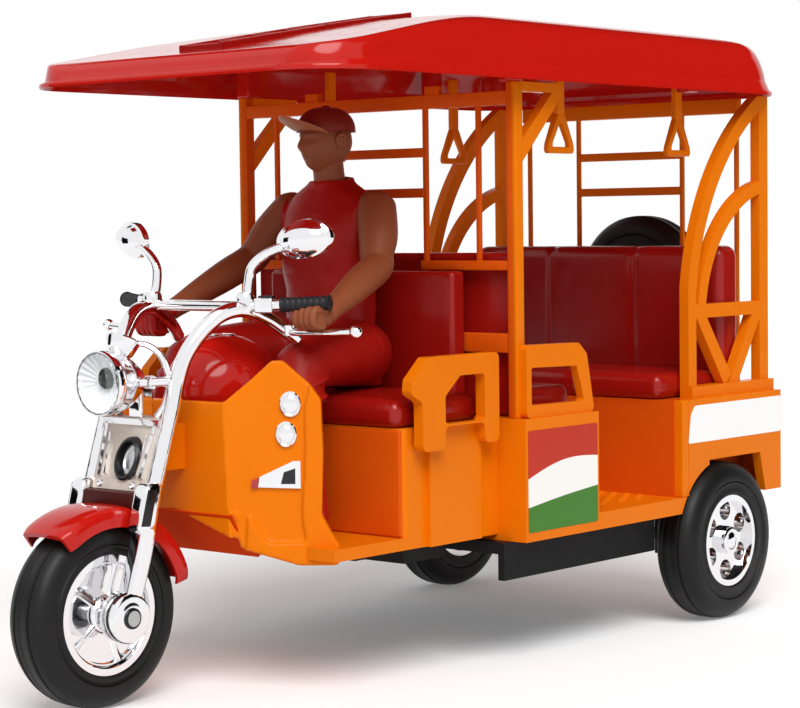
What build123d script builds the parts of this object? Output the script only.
"""Toy electric rickshaw: a three-wheeled passenger toy with a seated driver figure.

Millimetres. +X is the vehicle's left side, +Y points to its rear and +Z up.
The ground is z = 0 and the overall length is centred on y = 0.
"""
import os
from math import cos, radians, sin

from build123d import *

# ---------------------------------------------------------------- driving dimensions
clearance = 0.05          # radial running clearance of a turning shaft
fit_gap = 0.1             # gap between mouldings that are pushed together
skin = 1.6                # thickness of moulded shells

# wheels
front_axle_y = -84.8
wheelbase = 153.7
wheel_radius = 18.0
tyre_width = 10.2
tyre_shoulder = 2.4       # rounding of the tyre's shoulders
front_rim_radius = 11.5
rear_rim_radius = 10.4
rear_track = 79.4         # between the middles of the two rear tyres
axle_radius = 1.5
hub_radius = 3.2
rim_lip = 1.3             # wall of the rim's barrel
rim_recess = 1.6          # how far the rim's disc lies inside its barrel
wheel_inset = 0.5         # how far the barrel lies inside the tyre's face

# lower body
body_half = 42.5          # half width of the lower body
body_front_y = -5.0
body_rear_y = 93.5
body_bottom_z = 25.7
floor_thickness = 3.6
belt_z = 51.0
body_wall = 2.2
entry_front_y = 20.4
entry_rear_y = 54.6
arch_clearance = 0.8
arch_top_z = 36.9
skirt_bottom_z = 27.7

# benches
panel = 1.8               # wall of the boxed bench bases
cushion_height = 6.4
rear_bench_front_y = 52.0
rear_backrest_y = 76.0
rear_backrest_depth = 9.0
seatback_top_z = 85.2

# driver's platform
platform_half = 35.0
platform_bottom_z = 27.0
deck_thickness = 2.4
seat_base_front_y = -34.8
pilaster_proud = 1.2
armrest_proud = 3.6       # how far the loops stand out from the seat base
armrest_top_z = 65.0

# front cowl
cowl_face_y = -64.0
cowl_centre_half = 14.8   # from the middle to the crease of each wing
cowl_thickness = 2.2
cowl_sweep = 39.0         # angle of each wing behind the centre panel, degrees
cowl_shoulder_z = 57.3
cowl_peak_z = 65.3
cowl_foot_z = 25.7
band_proud = 0.9          # how far the raised border stands out

# cab frame
post_width = 2.4          # across the vehicle
post_depth = 2.7          # along the vehicle
bar_height = 2.0
roof_rim_z = 120.0
gusset_size = 14.0

# roof
roof_half = 43.6
roof_front_y = -64.2
roof_rear_y = 95.5
roof_crown_z = 135.4
roof_corner = 13.0
roof_flange = 1.0

# fork, lamp and bars
fork_half = 9.0           # centre line of each fork leg
fork_tube_radius = 1.6
fork_top_y = -71.4        # a point of the fork's centre line
fork_top_z = 58.0
plate_bottom_z = 40.6
plate_top_z = 54.6
horn_radius = 3.5
bar_y = -55.6
bar_z = 75.5
bar_radius = 1.1
grip_x = 20.5             # where each grip starts
grip_end_x = 28.6
grip_radius = 1.5
lamp_radius = 6.4
lamp_y = -82.8            # front of the lamp
lamp_z = 61.6
lamp_depth = 11.0
guard_gap = 1.0           # between the tyre's tread and the mudguard
guard_thickness = 1.9
guard_half = 6.6

# spare wheel
spare_z = 74.5
spare_radius = 18.0
spare_tyre_width = 9.0
spare_gap = 0.3           # between the rear wall and the spare tyre

# driver
spine_y = -17.0           # where the driver's spine meets the cushion
shoulder_half = 12.8
shoulder_z = 95.0
neck_z = 101.5
head_y = -18.0
head_z = 108.2
head_turn = 16.0          # to the driver's right
peak_tilt = 12.0

# values that follow from those above
rear_axle_y = front_axle_y + wheelbase
axle_z = wheel_radius
rear_wheel_x = rear_track / 2
floor_z = body_bottom_z + floor_thickness
cushion_z = belt_z + cushion_height
bench_half = body_half - body_wall
post_half = bench_half - 0.7          # outer face of the roof posts
post_inner = post_half - post_width
cushion_half = post_inner - 0.4
partition_y = body_front_y + 1.1      # front face of the partition
rear_frame_y = body_rear_y - post_depth
deck_z = platform_bottom_z + deck_thickness
arch_inner_x = rear_wheel_x - tyre_width / 2 - 1.2


# ---------------------------------------------------------------- shape helpers
def block(x0, x1, y0, y1, z0, z1):
    """Box between two corners."""
    return Pos((x0 + x1) / 2, (y0 + y1) / 2, (z0 + z1) / 2) * Box(x1 - x0, y1 - y0, z1 - z0)


def beam(x_half, y0, y1, z0, z1):
    """Box that reaches as far to the right of the middle as to the left."""
    return block(-x_half, x_half, y0, y1, z0, z1)


def plate_yz(outline, x0, x1):
    """Side plate: an outline of (y, z) points, extruded from x0 to x1."""
    face = make_face(Polyline(*[(x0, y, z) for y, z in outline], close=True))
    return extrude(face, amount=x1 - x0, dir=(1, 0, 0))


def rounded_plate_yz(outline, radius, x0, x1):
    """Side plate whose corners are rounded."""
    edge = FilletPolyline(*[(x0, y, z) for y, z in outline], radius=radius, close=True)
    return extrude(make_face(edge), amount=x1 - x0, dir=(1, 0, 0))


def plate_xz(outline, y0, y1):
    """Cross plate: an outline of (x, z) points, extruded from y0 to y1."""
    face = make_face(Polyline(*[(x, y0, z) for x, z in outline], close=True))
    return extrude(face, amount=y1 - y0, dir=(0, 1, 0))


def across(radius, x0, x1, y, z):
    """Round bar along X."""
    return Pos((x0 + x1) / 2, y, z) * Rot(0, 90, 0) * Cylinder(radius, x1 - x0)


def along(radius, x, y0, y1, z):
    """Round bar along Y."""
    return Pos(x, (y0 + y1) / 2, z) * Rot(90, 0, 0) * Cylinder(radius, y1 - y0)


def strut(start, end, radius):
    """Round bar between two points."""
    reach = Vector(*end) - Vector(*start)
    plane = Plane(origin=Vector(*start), z_dir=reach.normalized())
    return plane * Pos(0, 0, reach.length / 2) * Cylinder(radius, reach.length)


def taper(start, end, radius, end_radius):
    """Cone between two points, from one radius to another."""
    reach = Vector(*end) - Vector(*start)
    plane = Plane(origin=Vector(*start), z_dir=reach.normalized())
    return plane * Pos(0, 0, reach.length / 2) * Cone(radius, end_radius, reach.length)


def bent_tube(points, radius, bend):
    """Round tube along straight runs joined by arcs."""
    path = FilletPolyline(*points, radius=bend)
    start = Plane(origin=path @ 0, z_dir=path % 0)
    return sweep(start * Circle(radius), path=path)


def mirrored(shape):
    """The same piece on the right-hand side."""
    return mirror(shape, about=Plane.YZ)


def both_sides(shape):
    """A piece and its mirror image as one shape."""
    return shape + mirrored(shape)


def cushion(y0, y1, x_half, z0, z1, radius):
    """Cushion: a box across the vehicle with its edges rounded."""
    return fillet(beam(x_half, y0, y1, z0, z1).edges(), radius)


nodes = {}


# ---------------------------------------------------------------- wheels
def tyre(radius, rim_radius, width):
    """Tyre about X with rounded shoulders and a round bore for the rim."""
    shape = across(radius, -width / 2, width / 2, 0, 0)
    shape = fillet(shape.edges().filter_by(GeomType.CIRCLE), tyre_shoulder)
    return shape - across(rim_radius, -width, width, 0, 0)


def rim(rim_radius, width, bore_radius, holes, hole_share):
    """Dished rim about X: barrel, web with round holes and a hub with a bore."""
    half = width / 2 - wheel_inset
    barrel = across(rim_radius, -half, half, 0, 0)
    barrel -= across(rim_radius - rim_lip, -half, half, 0, 0)
    web_half = half - rim_recess
    web = across(rim_radius - rim_lip, -web_half, web_half, 0, 0)
    hole_circle = (rim_radius + hub_radius) / 2
    hole_radius = hole_share * (rim_radius - hub_radius) / 2
    for index in range(holes):
        angle = radians(360 / holes * (index + 0.5))
        web -= across(hole_radius, -half, half, hole_circle * cos(angle), hole_circle * sin(angle))
    hub = across(hub_radius, -half, half, 0, 0)
    return barrel + web + hub - across(bore_radius, -half, half, 0, 0)


front_place = Pos(0, front_axle_y, axle_z)
nodes["front_tyre"] = front_place * tyre(wheel_radius, front_rim_radius, tyre_width)
nodes["front_rim"] = front_place * rim(front_rim_radius, tyre_width, axle_radius + clearance, 5, 0.7)
for side, sign in (("left", 1), ("right", -1)):
    place = Pos(sign * rear_wheel_x, rear_axle_y, axle_z)
    nodes[f"rear_tyre_{side}"] = place * tyre(wheel_radius, rear_rim_radius, tyre_width)
    nodes[f"rear_rim_{side}"] = place * rim(rear_rim_radius, tyre_width, axle_radius, 6, 0.62)
axle_end_x = rear_wheel_x + tyre_width / 2 - 0.3
nodes["rear_axle"] = across(axle_radius, -axle_end_x, axle_end_x, rear_axle_y, axle_z)

# ---------------------------------------------------------------- chassis
base_half = body_half - 3.5
base_front_y = body_front_y - 3.0
base_rear_y = 46.0
base_thickness = 2.4
side_skirt_z = 17.9       # lower edge of the skirts along both sides
tongue_half = 33.0
tongue_front_y = -32.5
tongue_rear_y = -20.0
neck_half = 20.0
bearing_half = 4.0
bearing_x = 28.0
bearing_thickness = 4.0


def make_chassis():
    """Moulded underframe: a flat base with side skirts, a front tongue and two axle bearings."""
    base_bottom_z = body_bottom_z - base_thickness
    base = beam(base_half, base_front_y, base_rear_y, base_bottom_z, body_bottom_z)
    skirt = block(base_half - skin, base_half, base_front_y, base_rear_y, side_skirt_z, body_bottom_z)
    rear_wall = beam(base_half, base_rear_y - skin, base_rear_y, side_skirt_z, body_bottom_z)
    neck = beam(neck_half, tongue_front_y, body_front_y, base_bottom_z, platform_bottom_z)
    tongue = beam(tongue_half, tongue_front_y, tongue_rear_y, base_bottom_z + 0.6, platform_bottom_z)
    spine = beam(bearing_x, base_rear_y, rear_axle_y + bearing_half, base_bottom_z, body_bottom_z)
    bearing = block(bearing_x - bearing_thickness / 2, bearing_x + bearing_thickness / 2,
                    rear_axle_y - bearing_half, rear_axle_y + bearing_half,
                    axle_z - bearing_half, body_bottom_z)
    chassis = base + both_sides(skirt + bearing) + rear_wall + neck + tongue + spine
    return chassis - across(axle_radius + clearance, -body_half, body_half, rear_axle_y, axle_z)


nodes["chassis"] = make_chassis()

# ---------------------------------------------------------------- passenger tub
arch_front = 6.0          # from the axle to the front of the arch's flat
arch_rear = 15.4          # from the axle to the rear of the arch's flat
arch_slope = 2.4


def make_tub():
    """Lower passenger body: floor, side walls with entries and wheel arches, rear wall."""
    skirt_y = rear_axle_y + arch_rear + arch_slope
    tub = beam(body_half, body_front_y, body_rear_y, body_bottom_z, belt_z)
    tub -= beam(bench_half, body_front_y + body_wall, body_rear_y - body_wall, floor_z, belt_z)
    tub -= beam(body_half, entry_front_y, entry_rear_y, floor_z, belt_z)
    arch = across(wheel_radius + arch_clearance, arch_inner_x, body_half, rear_axle_y, axle_z)
    arch += plate_yz([(rear_axle_y - arch_front, axle_z), (rear_axle_y - arch_front, arch_top_z),
                      (rear_axle_y + arch_rear, arch_top_z), (skirt_y, skirt_bottom_z), (skirt_y, axle_z)],
                     arch_inner_x, body_half)
    tub -= both_sides(arch)
    return tub - beam(body_half, skirt_y, body_rear_y, body_bottom_z, skirt_bottom_z)


nodes["passenger_tub"] = make_tub()

# ---------------------------------------------------------------- benches
front_bench_rear_y = entry_front_y - 2.9
front_backrest_depth = 3.2
cushion_round = 2.0


def make_front_bench():
    """Front seat base: a riser towards the aisle and a top."""
    front = body_front_y + body_wall
    riser = beam(bench_half, front_bench_rear_y - panel, front_bench_rear_y, floor_z, belt_z)
    return riser + beam(bench_half, front, front_bench_rear_y, belt_z - panel, belt_z)


def make_rear_bench():
    """Rear seat base: riser and top, with the wheel wells closed off at the sides."""
    rear = body_rear_y - body_wall
    bench = beam(bench_half, rear_bench_front_y, rear_bench_front_y + panel, floor_z, belt_z)
    bench += beam(bench_half, rear_bench_front_y, rear, belt_z - panel, belt_z)
    well = block(arch_inner_x - panel, arch_inner_x, rear_bench_front_y, rear, floor_z, belt_z)
    return bench + both_sides(well)


nodes["front_bench_base"] = make_front_bench()
nodes["rear_bench_base"] = make_rear_bench()
backrest_front_y = partition_y + post_depth
backrest_rear_y = backrest_front_y + front_backrest_depth
nodes["front_bench_cushion"] = cushion(backrest_rear_y, front_bench_rear_y + 0.6, cushion_half,
                                       belt_z, cushion_z, cushion_round)
nodes["rear_bench_cushion"] = cushion(rear_bench_front_y - 1.0, rear_backrest_y, cushion_half,
                                      belt_z, cushion_z, cushion_round)
nodes["rear_backrest"] = cushion(rear_backrest_y, rear_backrest_y + rear_backrest_depth, cushion_half,
                                 belt_z, seatback_top_z, 1.6)

# ---------------------------------------------------------------- partition behind the driver
sill_beam_z = 82.4        # middle of the short beams beside the backrest
low_beam_z = 64.4         # underside of the beams below them
low_beam_height = 4.0
partition_bars = [106.2, 97.7]
inner_post_x = 14.2
outer_post_x = 29.2
inner_post_half = 1.0
inner_post_depth = post_depth - 0.7
top_beam_z = 115.3
top_beam_height = 2.9


def make_partition():
    """Frame behind the driver: side posts, inner posts, bars, top beam and gussets."""
    y0 = partition_y
    y1 = y0 + inner_post_depth
    frame = block(post_inner, post_half, y0, y0 + post_depth, belt_z, roof_rim_z)
    for x, foot_z in ((inner_post_x, belt_z), (outer_post_x, sill_beam_z)):
        frame += block(x - inner_post_half, x + inner_post_half, y0, y1, foot_z, top_beam_z)
    peg_x = inner_post_x + 3.0          # peg that fixes the frame to the roof
    frame += block(peg_x - 2.0, peg_x + 2.0, y0, y1, top_beam_z, roof_rim_z)
    frame += block(inner_post_x, post_inner, y0, y1, sill_beam_z - bar_height / 2,
                   sill_beam_z + bar_height / 2)
    frame += block(inner_post_x, post_inner, y0, y1, low_beam_z, low_beam_z + low_beam_height)
    rear = y0 + post_depth + gusset_size
    foot_z = roof_rim_z - gusset_size - 3.0
    gusset = plate_yz([(y1, roof_rim_z), (rear, roof_rim_z), (rear, roof_rim_z - skin), (y1, foot_z)],
                      post_inner, post_half)
    gusset -= plate_yz([(y1 + skin, roof_rim_z - skin), (rear - 4.5, roof_rim_z - skin),
                        (y1 + skin, foot_z + 4.5)], post_inner, post_half)
    frame = both_sides(frame + gusset)
    for z in partition_bars:
        frame += beam(inner_post_x, y0, y1, z - bar_height / 2, z + bar_height / 2)
    return frame + beam(post_inner, y0, y1, top_beam_z, top_beam_z + top_beam_height)


nodes["partition_frame"] = make_partition()
backrest_half = 26.0
backrest_depth = 5.0
backrest = beam(backrest_half, partition_y - backrest_depth, partition_y, belt_z,
                seatback_top_z - bar_height)
nodes["driver_backrest"] = fillet(backrest.edges().filter_by(Axis.Z).group_by(Axis.Y)[0], 2.0)
nodes["front_bench_backrest"] = cushion(backrest_front_y, backrest_rear_y, cushion_half, belt_z,
                                        sill_beam_z - bar_height / 2, 1.2)

# ---------------------------------------------------------------- rear frame
rear_bars = [107.1, 98.4]
rear_inner_x = 15.5
rear_outer_x = 31.0
rear_post_half = 1.1


def make_rear_frame():
    """Frame over the rear wall: four posts, two bars and a top beam."""
    y0 = rear_frame_y
    y1 = body_rear_y
    frame = beam(rear_outer_x, y0, y1, roof_rim_z - 3.6, roof_rim_z)
    for x in (rear_inner_x, rear_outer_x):
        frame += both_sides(block(x - rear_post_half, x + rear_post_half, y0, y1, belt_z, roof_rim_z))
    for z in rear_bars:
        frame += beam(rear_inner_x, y0, y1, z - bar_height / 2, z + bar_height / 2)
    return frame


nodes["rear_frame"] = make_rear_frame()


# ---------------------------------------------------------------- side frames
def arc_strip(points, width, x0, x1):
    """Curved flat strip in the side plane: a band about an arc through three (y, z) points."""
    start, middle, end = [Vector(x0, y, z) for y, z in points]
    arc = ThreePointArc(start, middle, end)
    first = Plane(origin=arc @ 0, z_dir=arc % 0, x_dir=(1, 0, 0))
    section = first * Pos((x1 - x0) / 2, 0) * Rectangle(x1 - x0, width)
    return sweep(section, path=arc)


brace_front_y = entry_rear_y + 4.4
brace_rear_y = body_rear_y - 4.5
truss_z = 69.0            # underside of the middle rail
rail_height = 3.1
foot_height = 2.6


def make_side_frame():
    """Lattice beside the rear bench: curved braces over a truss between two rails."""
    x0 = post_inner
    x1 = post_half
    front = brace_front_y
    rear = brace_rear_y
    post = block(x0, x1, rear, rear + 3.7, belt_z, roof_rim_z)
    foot = block(x0, x1 + 1.0, front, body_rear_y, belt_z, belt_z + foot_height)
    middle = block(x0, x1, front + 2.0, rear + 1.0, truss_z, truss_z + rail_height)
    stub = block(x0, x1, front, front + 3.2, belt_z, truss_z + 7.0)
    outer = arc_strip([(front + 1.6, truss_z + 6.0), (front + 12.0, truss_z + 33.0),
                       (rear + 1.0, roof_rim_z - 1.0)], 3.4, x0, x1)
    inner = arc_strip([(front + 5.6, truss_z + 2.0), (front + 14.5, truss_z + 21.0),
                       (rear + 1.4, truss_z + 30.0)], 3.0, x0, x1)
    foot_top = belt_z + foot_height - 0.8
    truss = plate_yz([(front + 3.0, truss_z + 0.5), (front + 7.2, truss_z + 0.5),
                      (front + 17.5, foot_top + 2.8), (front + 15.0, foot_top)], x0, x1)
    truss += plate_yz([(rear - 3.0, truss_z + 0.5), (rear + 1.0, truss_z + 0.5),
                       (rear - 10.0, foot_top), (rear - 13.5, foot_top)], x0, x1)
    frame = post + foot + middle + stub + outer + inner + truss
    return frame & block(x0, x1 + 1.0, front, body_rear_y, belt_z, roof_rim_z)


side_frame = make_side_frame()
nodes["side_frame_left"] = side_frame
nodes["side_frame_right"] = mirrored(side_frame)

# ---------------------------------------------------------------- half doors
door_thickness = 1.8
door_height = 15.1


def make_half_door():
    """Low side screen outside the front post, with a window."""
    x0 = post_half
    x1 = x0 + door_thickness
    front = partition_y + 0.9
    rear = entry_front_y
    top = belt_z + door_height
    screen = rounded_plate_yz([(front, belt_z), (front, top), (rear - 5.4, top - 0.3),
                               (rear - 2.6, top - 2.7), (rear, belt_z)], 1.2, x0, x1)
    return screen - rounded_plate_yz([(front + 1.6, belt_z + 2.6), (front + 1.6, top - 4.7),
                                      (rear - 6.2, top - 5.1), (rear - 3.6, belt_z + 2.4)], 0.6, x0, x1)


half_door = make_half_door()
nodes["half_door_left"] = half_door
nodes["half_door_right"] = mirrored(half_door)

# ---------------------------------------------------------------- driver's platform
pilaster_front_y = -27.8
pilaster_rear_y = -11.6


def make_platform():
    """Driver's floor and boxed seat base in one moulding."""
    front = cowl_face_y + cowl_thickness + 7.0
    floor = beam(platform_half, front, body_front_y, platform_bottom_z, deck_z)
    base = beam(platform_half, seat_base_front_y, body_front_y, platform_bottom_z, belt_z)
    base = fillet(base.edges().filter_by(Axis.Z).group_by(Axis.Y)[0], 1.6)
    hollow = beam(platform_half - body_wall, seat_base_front_y + body_wall, body_front_y - body_wall,
                  platform_bottom_z, belt_z - body_wall)
    pilaster = block(platform_half, platform_half + pilaster_proud, pilaster_front_y, pilaster_rear_y,
                     platform_bottom_z, belt_z)
    return floor + base - hollow + both_sides(pilaster)


platform = make_platform()
driver_cushion_rear_y = partition_y - backrest_depth
nodes["driver_cushion"] = cushion(seat_base_front_y - 1.2, driver_cushion_rear_y, platform_half - 0.6,
                                  belt_z, cushion_z, 2.2)


def make_armrest():
    """Loop beside the driver's seat: sloped front leg, level top and rear leg."""
    x0 = platform_half + pilaster_proud
    x1 = platform_half + armrest_proud
    top = armrest_top_z
    outer = [(-32.6, 46.4), (-32.6, top - 8.8), (-36.2, top - 7.0), (-35.8, top - 4.2), (-31.0, top),
             (-8.6, top), (-8.6, 46.8), (-13.2, 46.8), (-13.2, belt_z), (-25.7, belt_z), (-25.7, 46.4)]
    inner = [(-25.7, belt_z + 0.4), (-25.7, top - 8.0), (-21.0, top - 4.1), (-13.2, top - 4.1),
             (-13.2, belt_z + 0.4)]
    return rounded_plate_yz(outer, 1.3, x0, x1) - rounded_plate_yz(inner, 1.0, x0, x1)


armrest = make_armrest()
nodes["armrest_left"] = armrest
nodes["armrest_right"] = mirrored(armrest)

# ---------------------------------------------------------------- front cowl
nose_half = 17.0
nose_rear_y = -56.5
nose_top_z = 36.0
wing_length = 22.8


wing_face = Plane(origin=(cowl_centre_half, cowl_face_y, 0),
                  x_dir=(cos(radians(cowl_sweep)), sin(radians(cowl_sweep)), 0),
                  z_dir=(sin(radians(cowl_sweep)), -cos(radians(cowl_sweep)), 0))


def wing_plate(outline, out, depth):
    """Plate on the swept wing: (along the wing, z) points, its face standing out by a distance."""
    sketch = make_face(Polyline(*[(s, z) for s, z in outline], close=True))
    return extrude(wing_face * Pos(0, 0, out) * sketch, amount=-depth)


def make_cowl():
    """Leg shield: a centre panel, two swept wings with raised borders and a recessed nose."""
    foot = cowl_foot_z
    peak = cowl_peak_z
    centre = plate_xz([(-cowl_centre_half, cowl_shoulder_z), (cowl_centre_half, cowl_shoulder_z),
                       (cowl_centre_half + 1.6, 31.0), (0, nose_top_z), (-cowl_centre_half - 1.6, 31.0)],
                      cowl_face_y, cowl_face_y + cowl_thickness)
    edge = [(16.9, peak - 4.7), (18.9, peak - 7.6), (19.2, foot + 22.0), (18.8, foot + 9.8),
            (20.5, foot + 6.5), (wing_length, foot + 3.0), (wing_length - 1.0, foot), (14.4, foot)]
    wing = wing_plate([(0.0, cowl_shoulder_z), (5.4, peak - 3.6), (9.4, peak), (11.6, peak)] + edge
                      + [(3.0, foot + 3.4), (1.4, nose_top_z)], 0.0, cowl_thickness)
    border = wing_plate(edge + [(4.0, foot + 3.1), (4.6, foot + 10.0), (8.4, foot + 4.4),
                                (15.8, foot + 4.4), (15.0, foot + 9.6), (15.8, foot + 22.0),
                                (15.8, peak - 9.0)],
                        band_proud, band_proud)
    nose = plate_yz([(cowl_face_y, nose_top_z), (cowl_face_y + cowl_thickness, nose_top_z),
                     (nose_rear_y + 2.0, deck_z), (nose_rear_y + 2.0, platform_bottom_z),
                     (nose_rear_y, platform_bottom_z)], -nose_half, nose_half)
    return centre + both_sides(wing + border) + nose


cowl = make_cowl()
nodes["front_cowl"] = cowl
nodes["driver_platform"] = platform - cowl


def make_cowl_lamps():
    """Two round lamps and one wedge lamp let into a wing of the cowl."""
    lamps = []
    for s, z in ((13.0, cowl_peak_z - 8.3), (12.1, cowl_peak_z - 14.1)):
        lamps.append(wing_face * Pos(s, z, band_proud / 2) * Cylinder(2.2, band_proud))
    wedge_z = cowl_foot_z + 15.2
    lamps.append(wing_plate([(5.2, wedge_z), (14.8, wedge_z - 0.2), (14.8, wedge_z + 5.2)],
                            band_proud, band_proud))
    return lamps


left_lamps = make_cowl_lamps()
nodes["cowl_lamps"] = Compound(left_lamps + [mirrored(lamp) for lamp in left_lamps])

# ---------------------------------------------------------------- tank cover
tank_radius = 10.6        # egg-shaped cover, round when seen from the front
tank_reach = 12.6         # from its middle to its front and rear
tank_middle_y = cowl_face_y + cowl_thickness + tank_reach + 0.2
tank_middle_z = 59.0
column_half = 7.0


def make_tank_cover():
    """Egg-shaped cover over the steering head, on a column that stands on the platform."""
    egg = scale(Sphere(1.0), by=(tank_radius, tank_reach, tank_radius))
    column = beam(column_half, nose_rear_y + 2.0, tank_middle_y + 7.0, deck_z, tank_middle_z)
    return Pos(0, tank_middle_y, tank_middle_z) * egg + column - cowl


nodes["tank_cover"] = make_tank_cover()


# ---------------------------------------------------------------- roof
roof_front_profile = [    # distance behind the front edge, height over the rim
    (0.6, 2.8), (2.0, 4.7), (11.0, 6.2), (22.0, 8.3),
    (32.0, 10.2), (42.0, 11.9), (54.0, 14.0), (66.0, 15.1),
]
roof_rear_profile = [     # distance ahead of the rear edge, height over the rim
    (30.0, 14.4), (8.0, 11.8), (2.6, 8.6),
]
roof_cross_profile = [    # distance from the side edge, height over the rim
    (0.3, 3.2), (1.0, 6.6), (2.6, 10.6), (5.0, 12.4), (9.0, 13.4), (18.6, 14.4), (28.0, 15.2),
]


def roof_body(inset):
    """Crowned roof block: footprint, side profile and cross profile all drawn in by the inset."""
    half = roof_half - inset
    front = roof_front_y + inset
    rear = roof_rear_y - inset
    crown = roof_crown_z - inset
    base = roof_rim_z - inset
    footprint = beam(half, front, rear, roof_rim_z, crown)
    footprint = fillet(footprint.edges().filter_by(Axis.Z), roof_corner - inset)
    side = plate_yz([(front, base)] + [(front + d, base + h) for d, h in roof_front_profile]
                    + [(front + 74.0, crown)] + [(rear - d, base + h) for d, h in roof_rear_profile]
                    + [(rear, base)], -half, half)
    flank = [(half - d, base + h) for d, h in roof_cross_profile]
    cross = plate_xz([(half, base)] + flank + [(5.0, crown), (-5.0, crown)]
                     + [(-x, z) for x, z in reversed(flank)] + [(-half, base)], front, rear)
    return footprint & side & cross


roof_outer = roof_body(0.0)
roof_inner = roof_body(skin)
socket_half = 1.9


def make_roof():
    """Hollow roof moulding with a rim flange and sockets over the posts."""
    shell = roof_outer - roof_inner
    flange = beam(roof_half + roof_flange, roof_front_y - roof_flange, roof_rear_y + roof_flange,
                  roof_rim_z, roof_rim_z + 1.0)
    flange = fillet(flange.edges().filter_by(Axis.Z), roof_corner + roof_flange)
    shell += flange - roof_inner
    for y in (partition_y + post_depth / 2, brace_rear_y + socket_half):
        socket = block(post_half - 2 * socket_half, post_half, y - socket_half, y + socket_half,
                       roof_rim_z, roof_crown_z)
        shell += both_sides(socket) & roof_outer
    return shell


nodes["roof"] = make_roof()
rail_half = 6.1
rail_bar = 1.2


def make_roof_rail(y0, y1, z0, z1):
    """Low rectangular frame that follows the slope of the roof."""
    rail = plate_yz([(y0, z0 - 3.0), (y0, z0), (y1, z1), (y1, z1 - 3.0)], -rail_half, rail_half)
    return rail - beam(rail_half - rail_bar, y0 + rail_bar, y1 - rail_bar, roof_rim_z, z1) - roof_outer


nodes["roof_rails"] = Compound([
    make_roof_rail(roof_front_y + 10.2, roof_front_y + 40.6, roof_crown_z - 8.0, roof_crown_z - 2.9),
    make_roof_rail(roof_front_y + 41.6, roof_front_y + 67.6, roof_crown_z - 2.7, roof_crown_z + 1.3),
])

# ---------------------------------------------------------------- grab handles
handle_x = 33.0
handle_bottom_z = 105.8
handle_half = 4.6
handle_neck_z = 115.4


def make_grab_handle(x, y):
    """Triangular loop on a short strap that hangs from the roof."""
    low = handle_bottom_z + 2.6
    loop = plate_yz([(y - handle_half, handle_bottom_z), (y + handle_half, handle_bottom_z),
                     (y + handle_half, low), (y + 1.8, handle_neck_z), (y + 1.8, roof_rim_z),
                     (y - 1.8, roof_rim_z), (y - 1.8, handle_neck_z), (y - handle_half, low)],
                    x - 1.0, x + 1.0)
    loop -= plate_yz([(y - 2.6, low - 0.2), (y + 2.6, low - 0.2), (y, handle_neck_z - 2.8)],
                     x - 1.0, x + 1.0)
    stem = block(x - 1.0, x + 1.0, y - 1.8, y + 1.8, roof_rim_z, roof_crown_z)
    return loop + (stem & roof_inner)


for side, x in (("left", handle_x), ("right", -handle_x)):
    nodes[f"grab_handles_{side}"] = Compound([make_grab_handle(x, y) for y in (19.8, 64.5)])


# ---------------------------------------------------------------- fork
def fork_y(z):
    """Fore-and-aft place of the fork's centre line at a height."""
    return front_axle_y + (z - axle_z) * (fork_top_y - front_axle_y) / (fork_top_z - axle_z)


slider_step_z = 34.0      # the slider is deeper above this height
slider_top_z = 42.6
slider_half = 1.9
boss_radius = 4.9


def slider_band(low, high, reach):
    """Length of the slider, which reaches so far before and behind the fork's line."""
    return plate_yz([(fork_y(low) - reach, low), (fork_y(high) - reach, high),
                     (fork_y(high) + reach, high), (fork_y(low) + reach, low)],
                    fork_half - slider_half, fork_half + slider_half)


def make_fork_leg():
    """One leg: axle boss, lower slider and a tube that arches back beside the handlebar."""
    boss = across(boss_radius, fork_half - slider_half, fork_half + slider_half, front_axle_y, axle_z)
    slider = slider_band(axle_z, slider_step_z, 2.3) + slider_band(slider_step_z, slider_top_z, 3.0)
    tube_z = slider_top_z - 6.0
    tube = bent_tube([(fork_half, fork_y(tube_z), tube_z), (fork_half, fork_y(63.0), 63.0),
                      (fork_half + 2.8, bar_y - 5.4, bar_z - 0.4),
                      (fork_half + 4.8, bar_y + 1.6, bar_z - 1.6),
                      (fork_half + 8.0, bar_y + 10.6, bar_z - 7.1)], fork_tube_radius, 3.4)
    return boss + slider + tube - across(axle_radius, 0.0, body_half, front_axle_y, axle_z)


front_axle_end = fork_half + 2.4
nodes["front_axle"] = across(axle_radius, -front_axle_end, front_axle_end, front_axle_y, axle_z)
fork_leg = make_fork_leg()


horn_z = (plate_bottom_z + plate_top_z) / 2
horn_face_y = fork_y(horn_z)


def make_fork_plate():
    """Chrome plate between the fork legs, narrower below, with a round recess for the horn."""
    face = -1.0
    back = 3.0
    low = plate_bottom_z
    top = plate_top_z
    plate = plate_yz([(fork_y(low) + face, low), (fork_y(low) + back, low), (fork_y(top) + back, top),
                      (fork_y(top) + face, top)], -fork_half, fork_half)
    plate &= plate_xz([(-fork_half + 2.4, low), (-fork_half, top - 4.0), (-fork_half, top),
                       (fork_half, top), (fork_half, top - 4.0), (fork_half - 2.4, low)],
                      fork_y(low) - 9.0, fork_y(top) + 9.0)
    plate -= along(horn_radius + fit_gap, 0.0, fork_y(low) - 9.0, horn_face_y + 0.6, horn_z)
    return plate - both_sides(fork_leg)


nodes["fork_plate"] = make_fork_plate()
nodes["horn"] = along(horn_radius, 0.0, horn_face_y - 1.4, horn_face_y + 0.6, horn_z)


def make_steering_head():
    """Post that joins the fork plate to the cowl."""
    head = beam(4.0, fork_y(plate_top_z - 2.6), cowl_face_y, plate_bottom_z + 3.4, plate_top_z - 1.6)
    return head - nodes["fork_plate"]


nodes["steering_head"] = make_steering_head()


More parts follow.
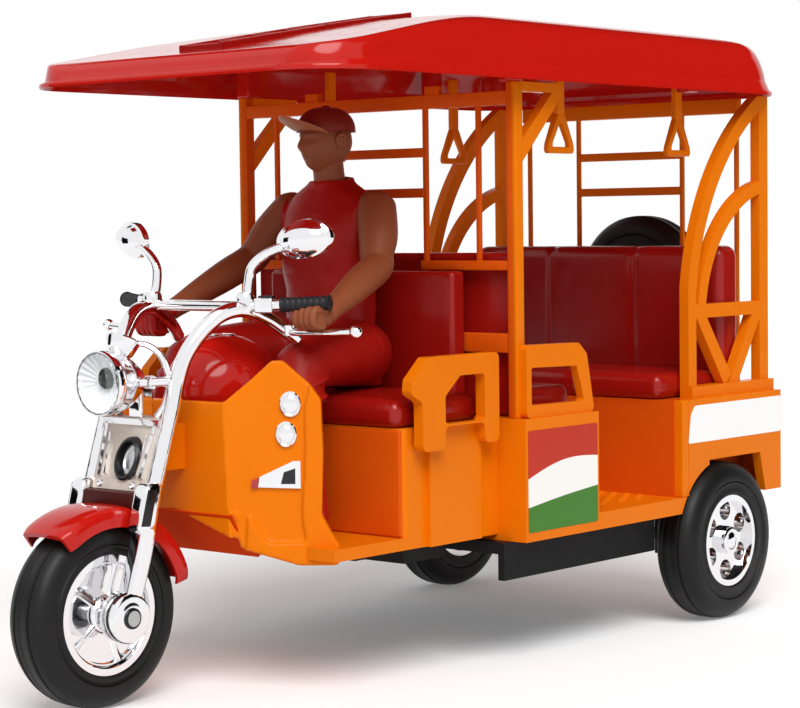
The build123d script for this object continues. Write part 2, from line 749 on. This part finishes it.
# ---------------------------------------------------------------- headlamp and instrument
def make_lamp():
    """Headlamp: a deep bowl with a bezel, a stalk to the fork plate and a bracket to each leg."""
    bezel_y = lamp_y + 1.8
    rear_y = lamp_y + lamp_depth
    bowl = taper((0, bezel_y, lamp_z), (0, bezel_y + 5.0, lamp_z), lamp_radius - 0.4, lamp_radius - 1.4)
    bowl += taper((0, bezel_y + 5.0, lamp_z), (0, rear_y, lamp_z), lamp_radius - 1.4, lamp_radius - 4.4)
    bezel = along(lamp_radius, 0.0, lamp_y, bezel_y, lamp_z)
    stalk = beam(2.0, fork_y(plate_top_z), fork_y(plate_top_z) + 2.6, plate_top_z, lamp_z)
    bracket_y = fork_y(lamp_z)
    bracket = beam(fork_half, bracket_y - 1.0, bracket_y + 1.0, lamp_z - 1.0, lamp_z + 1.0)
    lamp = bowl + bezel + stalk + bracket - both_sides(fork_leg)
    return lamp - along(lamp_radius - 1.0, 0.0, lamp_y, lamp_y + 1.2, lamp_z)


nodes["headlamp"] = make_lamp()
nodes["headlamp_lens"] = along(lamp_radius - 1.0, 0.0, lamp_y - 0.5, lamp_y + 1.2, lamp_z)
meter_y = lamp_y + 6.4
meter_z = lamp_z + 8.6
meter = taper((0, meter_y, meter_z - 4.0), (0, meter_y + 0.8, meter_z), 2.6, 3.4)
nodes["meter"] = meter - nodes["headlamp"]


# ---------------------------------------------------------------- front mudguard
def make_mudguard():
    """Mudguard: a curved shell over the tyre, with a pad on each side that meets the slider."""
    inner = wheel_radius + guard_gap
    guard = across(inner + guard_thickness, -guard_half, guard_half, 0, 0)
    guard = fillet(guard.edges().filter_by(GeomType.CIRCLE), 1.7)
    guard -= across(inner, -guard_half + 0.9, guard_half - 0.9, 0, 0)
    guard -= across(wheel_radius - 1.4, -guard_half, guard_half, 0, 0)
    reach = 2 * inner
    keep = plate_yz([(0, 0), (reach * cos(radians(128)), reach * sin(radians(128))), (0, reach * 1.4),
                     (reach, reach * 1.2), (reach * cos(radians(13)), reach * sin(radians(13)))],
                    -guard_half, guard_half)
    pad_z = axle_z + wheel_radius
    pad = across(1.3, guard_half - 0.5, fork_half - slider_half, fork_y(pad_z), pad_z)
    return Pos(0, front_axle_y, axle_z) * (guard & keep) + both_sides(pad)


nodes["front_mudguard"] = make_mudguard() - nodes["fork_plate"]

# ---------------------------------------------------------------- handlebar, grips, levers, mirrors
clamp_x = fork_half + 4.6
bar_sweep = 0.466         # how far the outer bar runs back for each millimetre outwards
bar_rise = 0.045


def bar_point(x):
    """Point of the handlebar's centre line outside the clamp."""
    return (x, bar_y + (x - clamp_x) * bar_sweep, bar_z + (x - clamp_x) * bar_rise)


def mirrored_point(point):
    """The same point on the right-hand side."""
    return (-point[0], point[1], point[2])


nodes["handlebar"] = bent_tube([mirrored_point(bar_point(grip_end_x)), (-clamp_x, bar_y, bar_z),
                                (clamp_x, bar_y, bar_z), bar_point(grip_end_x)], bar_radius, 3.0)
grip = strut(bar_point(grip_x), bar_point(grip_end_x), grip_radius) - nodes["handlebar"]
nodes["grip_left"] = grip
nodes["grip_right"] = mirrored(grip)
lever_y = bar_y + 8.4
lever_z = bar_z - 5.0
lever_end = (grip_end_x + 6.6, lever_y - 1.0, lever_z + 0.2)
lever = strut((fork_half + 7.4, lever_y, lever_z), lever_end, 0.8) + Pos(*lever_end) * Sphere(1.3)
mirror_x = 24.6
mirror_y = bar_y + 4.3
mirror_z = bar_z + 13.0
mirror_half_width = 6.2
mirror_half_height = 3.9
mirror_depth = 3.0


def make_mirror():
    """Oval mirror on a curved stalk from the handlebar."""
    stalk = bent_tube([(clamp_x, bar_y, bar_z), (clamp_x - 0.6, bar_y + 1.2, bar_z + 7.0),
                       (mirror_x - 3.0, mirror_y - 0.6, mirror_z - 1.4)], 1.0, 3.0)
    oval = extrude(Plane.XZ * Ellipse(mirror_half_width, mirror_half_height),
                   amount=mirror_depth / 2, both=True)
    oval = fillet(oval.edges(), 0.9)
    pod = Pos(mirror_x, mirror_y, mirror_z) * Rot(0, 0, 16) * Rot(0, -8, 0) * oval
    return pod + stalk - nodes["handlebar"]


side_mirror = make_mirror()
nodes["mirror_left"] = side_mirror
nodes["mirror_right"] = mirrored(side_mirror)
fork_leg = fork_leg - nodes["handlebar"]
nodes["fork_left"] = fork_leg
nodes["fork_right"] = mirrored(fork_leg)
lever -= fork_leg
nodes["lever_left"] = lever
nodes["lever_right"] = mirrored(lever)

# ---------------------------------------------------------------- spare wheel
spare_y = body_rear_y + spare_gap + spare_tyre_width / 2
mount_half = rear_inner_x + rear_post_half


def about_y(shape, y, z):
    """Turn a wheel made about X so that its axis lies along Y."""
    return Pos(0, y, z) * Rot(0, 0, 90) * shape


spare = tyre(spare_radius, rear_rim_radius, spare_tyre_width)
nodes["spare_tyre"] = about_y(spare, spare_y, spare_z)
spare = rim(rear_rim_radius, spare_tyre_width, axle_radius, 6, 0.62)
nodes["spare_rim"] = about_y(spare, spare_y, spare_z)
spare_peg = along(axle_radius, 0.0, body_rear_y, spare_y + spare_tyre_width / 2 - 0.5, spare_z)
nodes["spare_bracket"] = (spare_peg
                          + beam(mount_half, rear_frame_y, body_rear_y, spare_z - 3.0, spare_z + 3.0)
                          - nodes["rear_frame"])


# ---------------------------------------------------------------- driver figure
def rounded_section(x_half, y_half, y, z, radius):
    """Level rounded rectangle used as a loft section."""
    return Pos(0, y, z) * RectangleRounded(2 * x_half, 2 * y_half, radius)


def make_torso():
    """Sleeveless shirt: hips, waist, chest and shoulders."""
    table = [             # half width, half depth, y behind the spine, z
        (12.0, 7.6, 0.0, cushion_z),
        (10.2, 6.8, 0.0, 72.0),
        (11.6, 7.4, 0.4, 87.0),
        (shoulder_half - 0.4, 5.6, 1.0, shoulder_z + 2.0),
        (5.0, 4.4, 1.0, neck_z),
    ]
    return loft([rounded_section(xh, yh, spine_y + y, z, yh * 0.9) for xh, yh, y, z in table], ruled=False)


torso = make_torso() - nodes["driver_backrest"]
nodes["driver_shirt"] = torso


def make_leg():
    """Trousers of one leg with its shoe: thigh along the seat, shin down to the floor."""
    thigh_z = cushion_z + 6.6
    hip = (12.4, spine_y - 2.0, thigh_z)
    knee = (16.0, spine_y - 26.0, thigh_z - 0.4)
    ankle = (22.0, spine_y - 31.0, deck_z + 4.0)
    leg = Pos(*hip) * Sphere(6.8) + taper(hip, knee, 6.8, 5.4) + Pos(*knee) * Sphere(5.4)
    leg += taper(knee, ankle, 5.2, 3.2)
    return leg + block(18.6, 25.4, ankle[1] - 7.0, ankle[1] + 4.4, deck_z, deck_z + 4.0)


trousers = both_sides(make_leg()) - torso - cowl - fork_leg - nodes["fork_right"]
for name in ("driver_platform", "driver_cushion", "driver_backrest", "tank_cover"):
    trousers -= nodes[name]
nodes["driver_trousers"] = trousers


def make_arm(hand_x, hand_back, hand_depth):
    """Bare arm: shoulder, elbow and wrist, with a closed hand against the handlebar."""
    hold = bar_point(hand_x)
    shoulder = (shoulder_half - 0.2, spine_y + 1.0, shoulder_z - 1.0)
    elbow = (18.8, spine_y - 5.8, 82.8)
    wrist = (hand_x + 0.2, hold[1] + hand_back, hold[2] - 1.4)
    arm = Pos(*shoulder) * Sphere(4.5) + taper(shoulder, elbow, 4.4, 3.5) + Pos(*elbow) * Sphere(3.5)
    arm += taper(elbow, wrist, 3.4, 2.2)
    hand = block(hand_x - 2.8, hand_x + 3.4, hold[1] + hand_back - 7.0, hold[1] + hand_back + 0.6,
                 hold[2] - hand_depth, hold[2] - 0.2)
    return arm + fillet(hand.edges(), 1.4)


bars = nodes["grip_left"] + nodes["handlebar"] + side_mirror + fork_leg + lever
nodes["driver_arm_left"] = make_arm(25.0, 4.4, 5.2) - torso - bars - nodes["driver_backrest"]
nodes["driver_arm_right"] = mirrored(make_arm(17.8, 6.2, 7.0) - torso - bars - nodes["driver_backrest"])


head_place = Pos(0, head_y, head_z) * Rot(0, 0, -head_turn)


def make_head():
    """Head and neck in one."""
    profile = [(0.0, -7.2), (3.4, -6.0), (5.2, -1.0), (5.5, 2.6), (4.2, 6.0), (0.0, 7.2)]
    outline = Polyline(*[(r, 0, z) for r, z in profile], close=True)
    skull = head_place * revolve(make_face(outline), axis=Axis.Z)
    neck = taper((0, spine_y + 0.5, neck_z - 3.0), (0, head_y, head_z - 3.0), 3.4, 3.2)
    return skull + neck


def make_cap():
    """Cap: a domed crown over the head and a short peak that tilts up."""
    crown = Pos(0, 0, 1.6) * Sphere(6.6) & block(-9, 9, -9, 9, 2.2, 12)
    peak = Pos(0, -5.6, 3.3) * Rot(-peak_tilt, 0, 0) * Cylinder(5.2, 1.0)
    return head_place * (crown + peak)


head = make_head() - torso
nodes["driver_head"] = head
nodes["driver_cap"] = make_cap() - head

os.makedirs("parts", exist_ok=True)
for name, shape in nodes.items():
    export_step(shape, f"parts/{name}.step")
